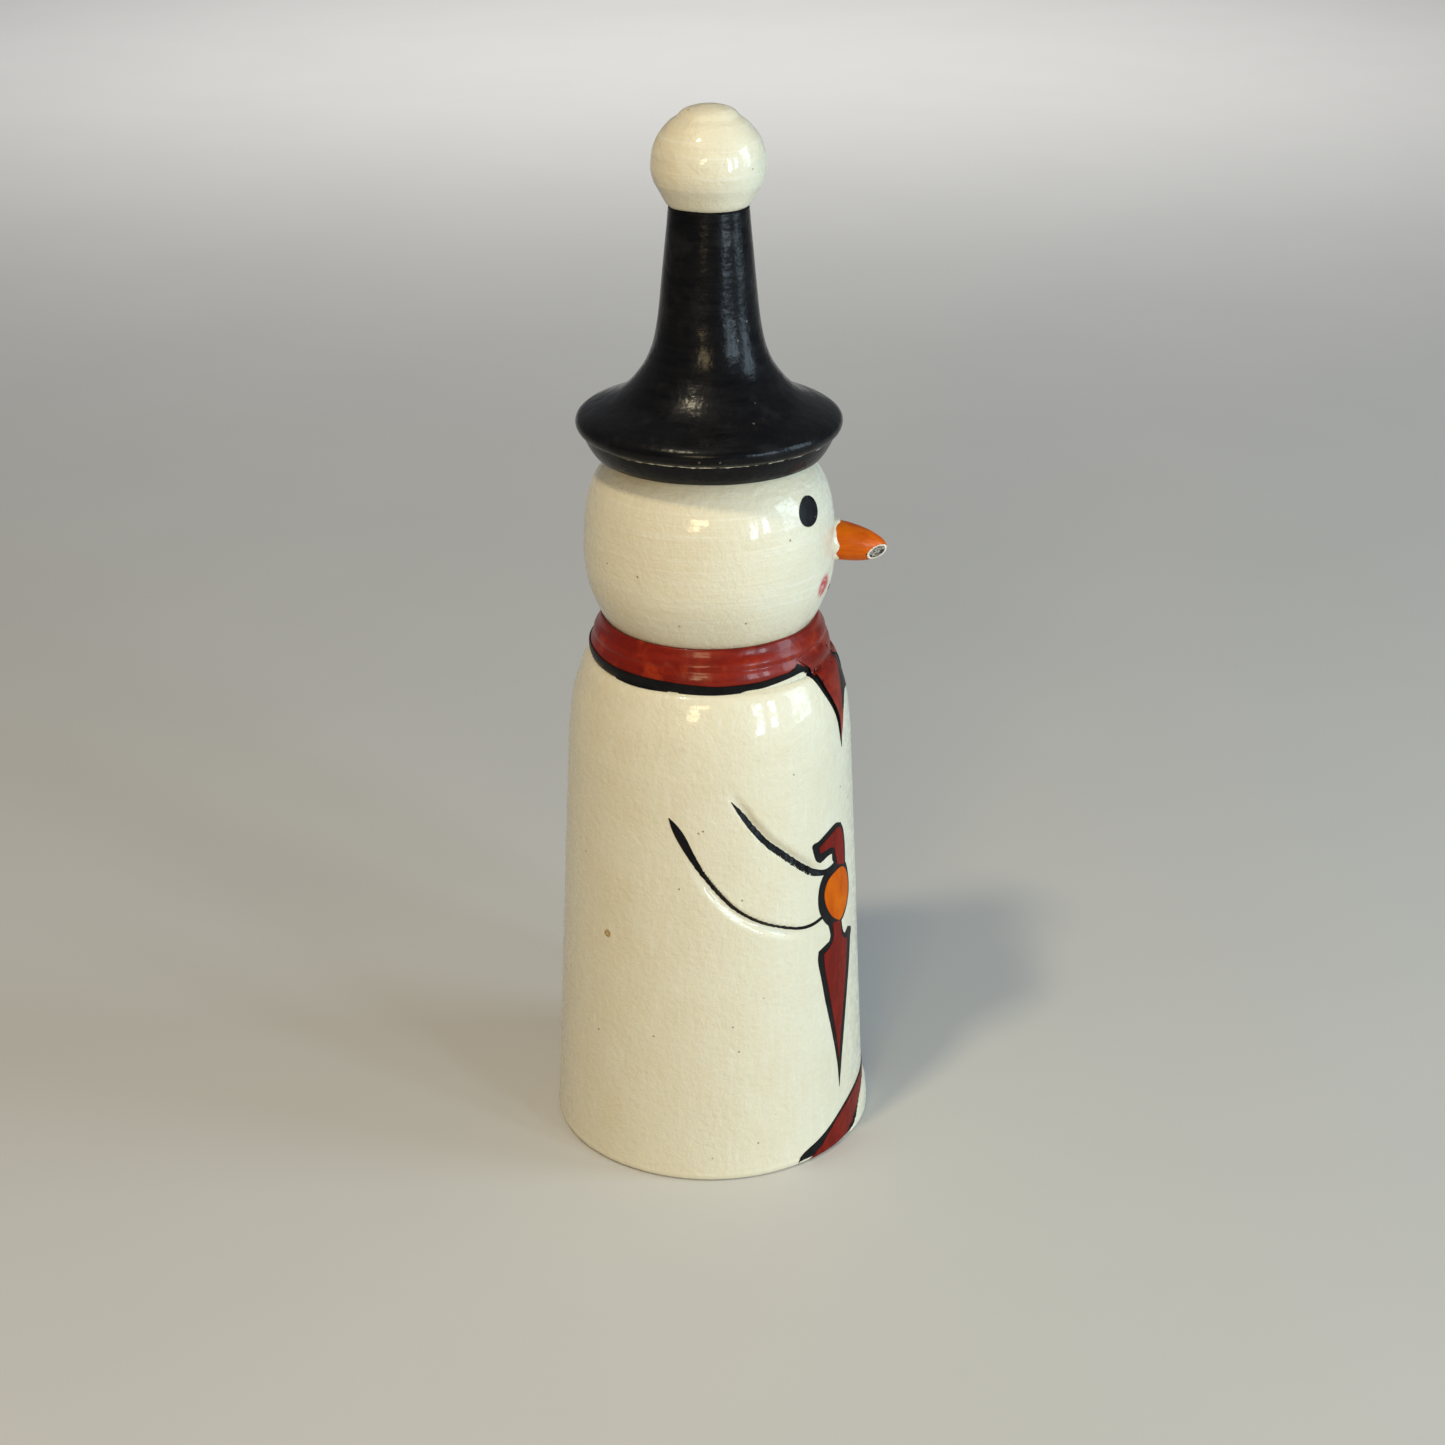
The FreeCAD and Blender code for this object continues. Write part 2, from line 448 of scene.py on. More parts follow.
def bareWood(name):
    finish = Finish(name)
    fibres = finish.cloudy((1500, 1500, 160), detail=6.0, roughness=0.7)
    rings = finish.cloudy((260, 260, 14), (3, 1, 0), detail=2.0)
    colour = finish.mix(finish.between(rings, 0.35, 0.65), rgb(0.55, 0.38, 0.21), rgb(0.68, 0.52, 0.33))
    colour = finish.mix(finish.between(fibres, 0.5, 0.7) * 0.5, colour, rgb(0.36, 0.23, 0.12))
    finish.set("Base Color", colour)
    finish.set("Roughness", 0.62 + 0.2 * fibres)
    finish.set("Normal", finish.bump(fibres, 0.12))
    return finish.material


def brokenWood(name):
    # weathered end grain: grey, with dark pits
    finish = Finish(name)
    crumbs = finish.cloudy((1800, 1400, 1800), detail=5.0, roughness=0.7)
    pits = finish.cloudy((900, 700, 900), (2, 5, 1), detail=3.0)
    colour = finish.mix(finish.between(crumbs, 0.35, 0.65), rgb(0.20, 0.175, 0.14), rgb(0.62, 0.58, 0.50))
    colour = finish.mix(finish.between(pits, 0.50, 0.40), colour, rgb(0.035, 0.03, 0.026))
    finish.set("Base Color", colour)
    finish.set("Roughness", 0.7 + 0.2 * crumbs)
    finish.set("Normal", finish.bump(crumbs, 0.3))
    return finish.material


def primer(name):
    # chalky undercoat, which shows where the paint is chipped
    finish = Finish(name)
    grain = finish.cloudy((700, 700, 700), detail=4.0)
    colour = finish.mix(finish.between(grain, 0.3, 0.7), rgb(0.70, 0.62, 0.50), rgb(0.82, 0.78, 0.70))
    finish.set("Base Color", colour)
    finish.set("Roughness", 0.5 + 0.25 * grain)
    finish.set("Normal", finish.bump(grain, 0.08))
    return finish.material


# how finely the brush streaks repeat along X, Y and Z: a large number makes them thin that way
verticalGrain = (700, 700, 60)
lathedRings = (26, 26, 1300)
cheekPink = rgb(0.50, 0.035, 0.055)
# each soft spot (stains, cheeks and the painted shade under the head) is (middle, radius, soft edge,
# colour, strength)
stains = [(placeOn(132.7, 73.4, 42.9), 1.2, 0.4, rgb(0.40, 0.22, 0.06), 1.1)]
# painted shade: a warm darkening over the lower head and neck, standing in for the shade under the head
paintedNeckShade = (placeOn(0, 150, 0), 34.0, 10.0, rgb(0.50, 0.42, 0.27), 0.6)
cheeks = [(placeOn(side * 24, 171.8, 34.3), 3.1, 1.2, cheekPink, 1.1) for side in (1, -1)]
gownPaint = whiteEnamel("gownPaint", verticalGrain, 0.035, 0.25, 0.035, 1.7, stains)
headPaint = whiteEnamel("headPaint", lathedRings, 0.10, 0.5, 0.045, 4.2, [paintedNeckShade, *cheeks])
pompomPaint = whiteEnamel("pompomPaint", lathedRings, 0.10, 0.5, 0.13, 8.9)
scarfPaint = colourEnamel("scarfPaint", ringPaint, (60, 60, 420), 2.0)
umbrellaPaint = colourEnamel("umbrellaPaint", redPaint, (420, 420, 60), 6.0)
linePaint = colourEnamel("linePaint", blackPaint, (300, 300, 300), 3.0)
hatBlack = colourEnamel("hatBlack", hatPaint, (90, 90, 600), 5.0, brimChips)
mittenPaint = colourEnamel("mittenPaint", orangePaint, (300, 300, 90), 7.0)
carrotPaint = colourEnamel("carrotPaint", carrotMix, (420, 70, 420), 9.0)
chippedWood = brokenWood("chippedWood")
chalk = primer("chalk")
dowelWood = bareWood("dowelWood")


def paint(piece, *materials):
    piece.data.materials.clear()
    for material in materials:
        piece.data.materials.append(material)


print("stage: materials mixed")

gown = {
    "baseRadius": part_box("body")[1].x / mm,
    "top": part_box("body")[1].z / mm,
    "bevel": 1.2,
    "waist": (40.2, 124.6),
    "shoulder": [(38.8, 135.4), (36.5, 143.2), (34.9, 146.7), (33.0, 148.0)],
    "toeRise": 9.3,
    "toeTurn": 33.5,
    "toeProud": 1.2,
    "toeEdge": 1.3,
    "grooveDepth": 1.2,
    "grooveSteep": 0.7,
    "grooveFloor": 0.8,
    "grooveSlope": 2.6,
    "grooves": [("upper", 1, 38, 84), ("lower", -1, 50, 100)],  # line, sloping side, first and last turn
    "dents": [(106, 131.6, 6.5, 1.1, -0.35, 0.30), (112, 134, 2.5, 0.9, -0.3, 0.22),
              (95, 127, 3, 0.8, 0.2, 0.12)],  # turn, height, half width, half height, lean, depth
    "waves": (24, 0.22),  # size and depth of the unevenness
    "steps": 448,
}
neckBore, neckLow, neckHigh = socketSize("neck_dowel")
artRadius = 42  # the radius that flat artwork is laid out for
armLineRise = 0.14  # how far the paint stands out
sides = ((1, "Right"), (-1, "Left"))

# A brush line is (turn, height, width) points. The grooves follow the same lines.
armLines = {
    "upper": [(81.5, 118.6, 0.2), (78, 115, 1.2), (73, 109.8, 1.6), (67, 104.6, 1.8), (61, 100.7, 1.9),
              (54, 96.3, 2.0), (47.5, 92.6, 2.1), (43, 91.0, 1.8), (38, 90.2, 1.6), (33, 90.6, 1.5),
              (29, 92, 1.2)],
    "lower": [(105.8, 113.5, 0.2), (103.6, 111, 1.9), (101, 107.9, 2.6), (97, 102.6, 2.1),
              (92.5, 97.2, 1.6), (87, 91.8, 1.3), (80, 86.2, 1.1), (72, 82, 0.9), (63, 78.8, 0.85),
              (54, 76.6, 0.9), (47, 76.1, 1.0), (40, 77, 1.0)],
}


def flat(points):
    # lays (turn, height, ...) points out as if the gown were unrolled
    return [(-math.radians(point[0]) * artRadius, *point[1:]) for point in points]


def grooveShare(line, side, fromTurn, toTurn):
    # a scoop beside a brush line: steep towards the arm, flat for a little, then a long way out
    path = [Vector((x, height)) for x, height, width in rounded(flat(line), 1.0)]
    middle, half = (fromTurn + toTurn) / 2, abs(toTurn - fromTurn) / 2

    def share(turn, height):
        if abs(turn - middle) > half + 6:
            return 0
        here = Vector((-math.radians(turn) * artRadius, height))
        nearest = min(range(1, len(path) - 1), key=lambda step: (path[step] - here).length_squared)
        along = (path[nearest + 1] - path[nearest - 1]).normalized()
        away = side * (along.x * (here.y - path[nearest].y) - along.y * (here.x - path[nearest].x))
        if away > 0:
            depth = 1 - fade((away - gown["grooveFloor"]) / gown["grooveSlope"])
        else:
            depth = fade(1 + away / gown["grooveSteep"])
        reach = 1 - abs(turn - middle) / half
        return depth * fade(2.2 * reach)

    return share


def dentShare(atTurn, atHeight, wide, tall, lean):
    # a shallow oval knock: wide is in degrees, and lean is how much it climbs per degree
    def share(turn, height):
        across, up = (turn - atTurn) / wide, (height - atHeight - lean * (turn - atTurn)) / tall
        return fade(1 - across * across - up * up)

    return share


def toeShare(turn, height):
    # the shoe tips: an arch with a soft edge, fullest low down, that fades out at the shelf
    if abs(turn) >= gown["toeTurn"]:
        return 0
    top = gown["toeRise"] * math.cos(math.pi / 2 * turn / gown["toeTurn"]) ** 1.4
    fullness = 0.75 + 0.25 * fade((top - height) / 5)
    return fade((top - height) / gown["toeEdge"]) * fullness * fade((height - 0.1) / 1.2)


def makeGown():
    base, bevel = gown["baseRadius"], gown["bevel"]
    outline = [(0, neckLow), (neckBore, neckLow), (neckBore, gown["top"]), (20, gown["top"])]
    outline += rounded(gown["shoulder"][::-1] + [gown["waist"]], 0.7)
    outline += rounded([gown["waist"], (base - 0.1, 1.9 * bevel)], 0.8)[1:]
    outline += rounded([(base, 1.6 * bevel), (base - 0.25, 0.55 * bevel), (base - bevel, 0)], 0.35)
    outline += [(30, 0), (0, 0)]
    piece = turnWood("gown", outline, gown["steps"])
    relief(piece, "toe", gown["toeProud"], toeShare)
    for side in (1, -1):
        for lineName, slopeSide, fromTurn, toTurn in gown["grooves"]:
            line = [(side * turn, height, width) for turn, height, width in armLines[lineName]]
            share = grooveShare(line, side * slopeSide, side * fromTurn, side * toTurn)
            relief(piece, "groove", -gown["grooveDepth"], share)
    for *dent, depth in gown["dents"]:
        relief(piece, "dent", -depth, dentShare(*dent))
    handTurned(piece, *gown["waves"])
    smooth(piece)
    paint(piece, gownPaint)
    return finished(piece, ["body"])


gownPiece = makeGown()
print("stage: gown turned and carved", len(gownPiece.data.polygons), "faces")

collar = {
    "foot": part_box("scarf_collar")[0].z / mm,
    "outside": [(33.0, 148.0), (33.5, 149.4), (33.55, 151.2), (33.05, 152.8), (32.55, 153.9),
                (32.5, 155.0), (31.95, 156.2), (31.2, 157.4), (30.75, 158.6)],
    "lip": [(30.75, 158.6), (30.3, 159.4), (29.6, 159.5)],
    "dish": [(29.6, 159.5), (24.2, 154.9), (16.0, 152.0)],
    "nick": (108, 155.4, 5, 1.0),  # turn, height, half width in degrees, half height
    "nickDepth": 0.45,
    "waves": (14, 0.3),
    "steps": 320,
}


def makeCollar():
    start = (neckBore, collar["dish"][-1][1])
    outline = [start, (neckBore, collar["foot"]), (20, collar["foot"])]
    outline += rounded(collar["outside"], 0.45) + rounded(collar["lip"], 0.2)[1:]
    outline += rounded(collar["dish"], 1.0)[1:] + [start]
    piece = turnWood("scarfRing", outline, collar["steps"])
    nickTurn, nickHeight, nickWide, nickTall = collar["nick"]

    def nickShare(turn, height):
        across = turn - nickTurn
        up = height - nickHeight - across / 12
        return fade(1 - abs(across) / nickWide) * fade(1 - abs(up) / nickTall)

    relief(piece, "nick", -collar["nickDepth"], nickShare)
    handTurned(piece, *collar["waves"])
    smooth(piece)
    paint(piece, scarfPaint)
    return finished(piece, ["scarf_collar"])


collarPiece = makeCollar()

head = {
    "dish": [(16.0, 152.05), (24.2, 154.95), (29.3, 159.2)],
    "ball": [(29.3, 159.2), (30.5, 161.2), (32.3, 165.4), (33.9, 170.2), (34.75, 175.4), (34.85, 181.5),
             (34.4, 188.2), (33.5, 193.6), (31.9, 198.2), (29.3, 202.2), (25.6, 206.15)],
    "top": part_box("head")[1].z / mm,
    "waves": (16, 0.25),
    "steps": 400,
}
hatBore, hatBoreLow, hatBoreHigh = socketSize("hat_dowel")


def makeHead():
    outline = [(0, neckHigh), (neckBore, neckHigh), (neckBore, head["dish"][0][1])]
    outline += rounded(head["dish"], 1.0) + rounded(head["ball"], 0.45)[1:]
    outline += [(hatBore, head["top"]), (hatBore, hatBoreLow), (0, hatBoreLow)]
    piece = turnWood("headBall", outline, head["steps"])
    handTurned(piece, *head["waves"])
    smooth(piece)
    paint(piece, headPaint)
    return finished(piece, ["head"])


headPiece = makeHead()

hat = {
    "foot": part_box("hat")[0].z / mm,
    "footRadius": 30.6,
    "top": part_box("hat")[1].z / mm,
    "topRadius": 10.3,
    "band": [(31.3, 206.5), (32.4, 208.0), (33.6, 210.2), (34.5, 212.3)],
    "edge": [(34.5, 212.3), (35.7, 213.3), (36.3, 214.9), (35.9, 216.4), (34.4, 217.7), (31.6, 219.0)],
    "flare": [(31.6, 219.0), (28.2, 220.4), (25.1, 222.1), (21.8, 225.0), (19.1, 228.3), (17.0, 231.6),
              (15.2, 236.2), (13.8, 243.2), (12.8, 252.0), (11.85, 261.5), (11.2, 268.0), (10.75, 272.9)],
    "waves": (18, 0.25),
    "steps": 400,
}
tipBore, tipBoreLow, tipBoreHigh = socketSize("pompom_dowel")


def makeHat():
    foot, top = hat["foot"], hat["top"]
    outline = [(0, hatBoreHigh), (hatBore, hatBoreHigh), (hatBore, foot), (hat["footRadius"], foot)]
    outline += rounded(hat["band"], 0.4) + rounded(hat["edge"], 0.4)[1:] + rounded(hat["flare"], 0.6)[1:]
    outline += [(hat["topRadius"], top), (tipBore, top), (tipBore, tipBoreLow), (0, tipBoreLow)]
    piece = turnWood("hatCone", outline, hat["steps"])
    handTurned(piece, *hat["waves"])
    smooth(piece, 25)
    paint(piece, hatBlack)
    return finished(piece, ["hat"])


makeHat()

pompom = {
    "foot": [(10.6, 273.5), (11.4, 274.2), (12.8, 276.6), (14.5, 279.5)],
    "ball": [(14.5, 279.5), (15.15, 282.2), (15.2, 284.8), (14.6, 288.6), (13.1, 291.8), (10.4, 294.9),
             (8.4, 296.4), (6.9, 297.9), (4.6, 298.9), (2.0, 299.4), (0, 299.5)],
    "waves": (9, 0.35),
    "steps": 300,
}


def makePompom():
    outline = [(0, tipBoreHigh), (tipBore, tipBoreHigh), (tipBore, pompom["foot"][0][1])]
    outline += rounded(pompom["foot"], 0.35) + rounded(pompom["ball"], 0.35)[1:]
    piece = turnWood("pompomBall", outline, pompom["steps"])
    handTurned(piece, *pompom["waves"])
    smooth(piece)
    paint(piece, pompomPaint)
    return finished(piece, ["pompom"])


makePompom()
print("stage: turned pieces finished")

nose = {
    "outline": [(5.45, 0.0), (5.4, 2.5), (5.05, 5.5), (4.45, 8.6), (3.5, 11.4), (2.3, 13.6), (1.1, 14.6),
                (0, 14.8)],
    "sunk": 2.5,
    "droop": 11.5,
    "root": (0, -34.6, 180.4),
    "chipPoint": (-4.0, -43.6, 177.3),
    "chipFacing": (-0.74, -0.56, -0.38),
    "rim": (0.80, 0.05),  # the broken tip's chalky rim: its inner size, and how far it stands out
    "hollow": (0.86, -0.45),
    "crumbs": (0.9, 1.1),
    "bead": [(4.6, -1.6), (6.3, -1.5), (6.2, -0.8), (5.95, -0.3), (5.7, 0.0), (5.45, 0.15), (5.15, 0.1),
             (4.8, -0.4)],
    "beadSpread": 1.5,
    "steps": 128,
    "beadSteps": 160,
}


def makeNose():
    root = nose["outline"][0][0]
    outline = [(0, -nose["sunk"]), (root, -nose["sunk"])] + rounded(nose["outline"], 0.3)
    piece = turnWood("carrotNose", outline, nose["steps"])
    editMesh(piece)
    tip = math.radians(90 + nose["droop"])
    bpy.ops.transform.rotate(value=-tip, orient_axis="X", center_override=(0, 0, 0))
    bpy.ops.transform.translate(value=Vector(nose["root"]) * mm)
    chipPlane = {"plane_co": Vector(nose["chipPoint"]) * mm, "plane_no": nose["chipFacing"]}
    bpy.ops.mesh.bisect(**chipPlane, use_fill=True, clear_outer=True)
    bpy.ops.mesh.select_all(action="DESELECT")
    bpy.ops.object.mode_set(mode="OBJECT")
    paint(piece, carrotPaint, chalk, chippedWood)
    facing = Vector(nose["chipFacing"]).normalized()
    cutFaces = [face for face in piece.data.polygons if face.normal.dot(facing) > 0.99]
    chip = max(cutFaces, key=lambda face: face.area)
    middle = chip.center.copy()
    chip.select = True
    bpy.ops.object.mode_set(mode="EDIT")
    for material, (share, depth) in ((1, nose["rim"]), (2, nose["hollow"])):
        piece.active_material_index = material
        bpy.ops.mesh.extrude_region_move(TRANSFORM_OT_translate={"value": facing * depth * mm})
        bpy.ops.transform.resize(value=(share, share, share), center_override=middle)
        bpy.ops.mesh.select_more()
        bpy.ops.object.material_slot_assign()
        bpy.ops.mesh.select_less()
    bpy.ops.mesh.poke()
    bpy.ops.mesh.subdivide(number_cuts=8)
    bpy.ops.object.vertex_group_assign_new()
    deselectAll()
    crumbs = bpy.data.textures.new("crumbs", "CLOUDS")
    crumbSize, crumbDepth = nose["crumbs"]
    crumbs.noise_scale = crumbSize * mm
    finishWith(piece, "DISPLACE", texture=crumbs, texture_coords="LOCAL", strength=crumbDepth * mm,
               mid_level=0.5, vertex_group="Group")
    piece.vertex_groups.clear()
    smooth(piece, 30)
    return finished(piece, ["carrot_nose"])


def makeBead():
    # the ragged rim of white paint that fills the joint between nose and face
    piece = turnWood("noseBead", nose["bead"] + nose["bead"][:1], nose["beadSteps"])

    def spread(turn, height):
        return fade((height + 0.6) / 0.7) * (0.5 + 0.9 * noise.noise(Vector((turn / 26, 4.2, 0.7))))

    relief(piece, "spread", nose["beadSpread"], spread, "Z")
    editMesh(piece)
    bpy.ops.transform.rotate(value=-math.pi / 2, orient_axis="X", center_override=(0, 0, 0))
    bpy.ops.transform.translate(value=Vector(nose["root"]) * mm)
    deselectAll()
    smooth(piece, 60)
    paint(piece, headPaint)
    return finished(piece)


makeNose()
makeBead()


def paintOn(name, points, target, rise, material, slot, sunk=0.25, cell=1.5, thin=None):
    # a thin film of paint: the flat shape is cut into strips, bent round, laid on the target and thickened
    piece = drawLine(name, [(x, 0, height) for x, height in points])
    editMesh(piece)
    bpy.ops.mesh.edge_face_add()
    bpy.ops.mesh.quads_convert_to_tris(quad_method="BEAUTY", ngon_method="BEAUTY")
    for axis, direction in ((0, (1, 0, 0)), (1, (0, 0, 1))):
        spots = [point[axis] for point in points]
        for cut in range(1, int((max(spots) - min(spots)) / cell) + 1):
            place = Vector(direction) * (min(spots) + cut * cell) * mm
            bpy.ops.mesh.select_all(action="SELECT")
            bpy.ops.mesh.bisect(plane_co=place, plane_no=direction)
    deselectAll()
    across = [corner.co.x for corner in piece.data.vertices]
    bend = (max(across) - min(across)) / (artRadius * mm)
    finishWith(piece, "SIMPLE_DEFORM", deform_method="BEND", deform_axis="Z", angle=bend)
    editMesh(piece)
    bpy.ops.transform.translate(value=(0, -artRadius * mm, 0))
    deselectAll()
    inward = sum(face.area * face.normal.dot(face.center.xy.to_3d()) for face in piece.data.polygons) < 0
    if inward:
        editMesh(piece)
        bpy.ops.mesh.flip_normals()
        deselectAll()
    finishWith(piece, "SHRINKWRAP", target=target, wrap_method="PROJECT", wrap_mode="ABOVE_SURFACE",
               use_negative_direction=True, use_positive_direction=True, offset=-sunk * mm)
    wall = {"thickness": (sunk + rise) * mm, "offset": 1}
    if thin:
        # full thickness between the two middle heights, and thinner towards the outer two
        lowEnd, low, high, highEnd = thin
        thick = piece.vertex_groups.new(name="thick")
        for corner in piece.data.vertices:
            height = corner.co.z / mm
            share = fade((highEnd - height) / (highEnd - high)) * fade((height - lowEnd) / (low - lowEnd))
            thick.add([corner.index], share, "REPLACE")
        wall |= {"vertex_group": "thick", "thickness_vertex_group": 0.45}
    finishWith(piece, "SOLIDIFY", **wall)
    piece.vertex_groups.clear()
    cleanMesh(piece)
    smooth(piece, 40)
    paint(piece, material)
    return finished(piece)


def brushLine(line):
    # both edges of a brush line, out along one side and back along the other
    path = rounded(flat(line), 0.8)
    left, right = [], []
    for before, here, after in zip(path[:1] + path, path, path[1:] + path[-1:]):
        along = Vector((after.x - before.x, after.y - before.y)).normalized()
        half = here.z / 2
        left.append((here.x - along.y * half, here.y + along.x * half))
        right.append((here.x + along.y * half, here.y - along.x * half))
    return left + right[::-1]


def shape(*runs):
    # a closed flat outline from smooth runs that meet at corners
    outline = []
    for run in runs:
        outline += [tuple(point) for point in rounded(flat(run), 0.6)[:-1]]
    return outline


def roundShape(points):
    return [tuple(point) for point in rounded(flat(points), 0.6, closed=True)]


def onSide(side, points):
    # the right side's outline as it is, or mirrored for the left
    return [(side * x, height) for x, height in points]


for side, sideName in sides:
    for lineName, line in armLines.items():
        name, art = "armLine" + lineName.title() + sideName, onSide(side, brushLine(line))
        paintOn(name, art, gownPiece, armLineRise, linePaint, "black_enamel")

mitten = {
    "rise": 0.26,
    "edgeRise": 0.16,
    "edge": [(27, 90.9), (22.4, 87.8), (20.1, 82), (20.8, 77.6), (24.8, 73.4), (29.4, 71.4),
             (34.6, 71.6), (39.6, 74.4), (43.2, 79.6), (43, 85.6), (39.6, 89.6), (33, 90.6)],
    "wool": [(27, 88.4), (23.2, 86), (21.4, 81.6), (22.3, 77.4), (25.6, 74.3), (29.4, 72.5), (32, 73.2),
             (36.2, 76), (39.2, 80), (39.9, 83.8), (37.6, 87), (33, 88.3)],
}
umbrella = {
    "rise": 0.20,
    "edgeRise": 0.12,
    "handleEdge": [
        [(31.5, 90), (33.8, 92.5), (34.4, 94.6), (41.8, 93.8)],
        [(41.8, 93.8), (44.1, 95), (45.6, 98)],
        [(45.6, 98), (45.9, 100.2), (42.5, 100.6)],
        [(42.5, 100.6), (36.5, 102.1), (30.5, 103), (26.4, 102)],
        [(26.4, 102), (24.2, 99), (23.1, 94), (23.1, 88)],
        [(23.1, 88), (31.5, 90)],
    ],
    "handle": [
        [(30.2, 90), (31.6, 93.6), (32.6, 95.9), (35, 96.8)],
        [(35, 96.8), (41.8, 96.8)],
        [(41.8, 96.8), (42.4, 98.6)],
        [(42.4, 98.6), (36, 100.3), (30, 101.3), (27, 100.8)],
        [(27, 100.8), (25.2, 97.8), (24.4, 93.6), (24.6, 88.5)],
        [(24.6, 88.5), (30.2, 90)],
    ],
    "canopyEdge": [
        [(38.2, 74), (36.6, 69.6), (37.4, 68)],
        [(37.4, 68), (41, 67.3), (44, 66.6)],
        [(44, 66.6), (44.5, 63.6), (43, 58), (40.6, 49), (37, 37.5), (34.3, 27.5), (33.1, 18.6)],
        [(33.1, 18.6), (31.3, 26.5), (28.4, 37.5), (25.2, 47.5), (22, 56.5), (20, 63.5)],
        [(20, 63.5), (18.8, 66), (22.4, 67.6)],
        [(22.4, 67.6), (25.4, 66.4)],
        [(25.4, 66.4), (27.2, 68), (28.6, 73)],
        [(28.6, 73), (38.2, 74)],
    ],
    "canopy": [
        [(35, 73), (34.8, 68.6), (36, 66.8)],
        [(36, 66.8), (38.6, 65.6), (41.2, 65)],
        [(41.2, 65), (40.9, 61), (38.8, 52.6), (36.2, 42.6), (34.2, 34), (33.2, 28)],
        [(33.2, 28), (31, 37.8), (28, 48), (25.2, 57.6), (23.9, 64.4)],
        [(23.9, 64.4), (26.4, 65.2)],
        [(26.4, 65.2), (28.6, 67.4), (29.6, 72.4)],
        [(29.6, 72.4), (35, 73)],
    ],
}

for part, art in (("Cloth", "canopy"), ("Handle", "handle")):
    edgeName = "umbrella" + ("" if part == "Cloth" else part) + "Outline"
    edge, cloth = shape(*umbrella[art + "Edge"]), shape(*umbrella[art])
    paintOn(edgeName, edge, gownPiece, umbrella["edgeRise"], linePaint, "black_enamel")
    paintOn("umbrella" + part, cloth, gownPiece, umbrella["rise"], umbrellaPaint, "red_enamel")
for side, sideName in sides:
    edge, wool = (onSide(side, roundShape(mitten[part])) for part in ("edge", "wool"))
    paintOn("mittenOutline" + sideName, edge, gownPiece, mitten["edgeRise"], linePaint, "black_enamel")
    paintOn("mitten" + sideName, wool, gownPiece, mitten["rise"], mittenPaint, "orange_enamel")

hem = {
    "rise": 0.20,
    "edgeRise": 0.12,
    "edge": [(56.7, 0.25), (55.2, 2.6), (52.4, 4.1), (46.5, 5.8), (40.2, 8), (34, 10.4), (27, 12.5),
             (19, 13.9), (10, 14.4), (0, 14.5)],
    "redTop": [(51, 0.6), (47.6, 2.3), (44, 3.9), (40.4, 6.4), (34, 9.5), (27, 11.6), (19, 13),
               (10, 13.5), (0, 13.6)],
    "redFoot": [(35.6, 0.6), (30.5, 1.0), (26.2, 2.2), (22, 3.9), (17.6, 6.2), (13, 8.0), (7, 9.5),
                (0, 10)],
    "foot": [(33.8, 0.25), (29.2, 0.65), (25, 1.8), (21, 3.4), (17, 5.5), (12.6, 7.4), (6.8, 8.9),
             (0, 9.4)],
}


def arch(top, foot):
    # a band from one side of the front to the other: over the top and back along the foot
    over, back = ([tuple(point) for point in rounded(flat(run), 0.8)] for run in (top, foot))
    return over + onSide(-1, over[-2::-1]) + onSide(-1, back[:-1]) + back[::-1]


hemArt, liningArt = arch(hem["edge"], hem["foot"]), arch(hem["redTop"], hem["redFoot"])
paintOn("hemOutline", hemArt, gownPiece, hem["edgeRise"], linePaint, "black_enamel")
paintOn("hemLining", liningArt, gownPiece, hem["rise"], umbrellaPaint, "red_enamel")
print("stage: gown painted")

eyes = {
    "middle": (36.2, 195.2),
    "half": (7.0, 3.9),
    "lean": 0.25,
    "rise": 0.22,
}


def oval(turn, height, halfTurn, halfHeight, lean, count=14):
    result = []
    for step in range(count):
        angle = 2 * math.pi * step / count
        up = halfHeight * math.sin(angle)
        result.append((turn + halfTurn * math.cos(angle) - lean * up, height + up))
    return result


eyeArt = roundShape(oval(*eyes["middle"], *eyes["half"], eyes["lean"]))
for side, sideName in sides:
    art = onSide(side, eyeArt)
    paintOn("eye" + sideName, art, headPiece, eyes["rise"], linePaint, "black_enamel", cell=1.0)

smile = {
    "line": [(10.5, 169.2, 0.3), (7.5, 167.6, 0.9), (3.5, 166.5, 1.1), (0, 166.2, 1.1), (-3.5, 166.5, 1.1),
             (-7.5, 167.6, 0.9), (-10.5, 169.2, 0.3)],
    "rise": 0.14,
}
paintOn("smile", brushLine(smile["line"]), headPiece, smile["rise"], linePaint, "black_enamel")
print("stage: face painted")

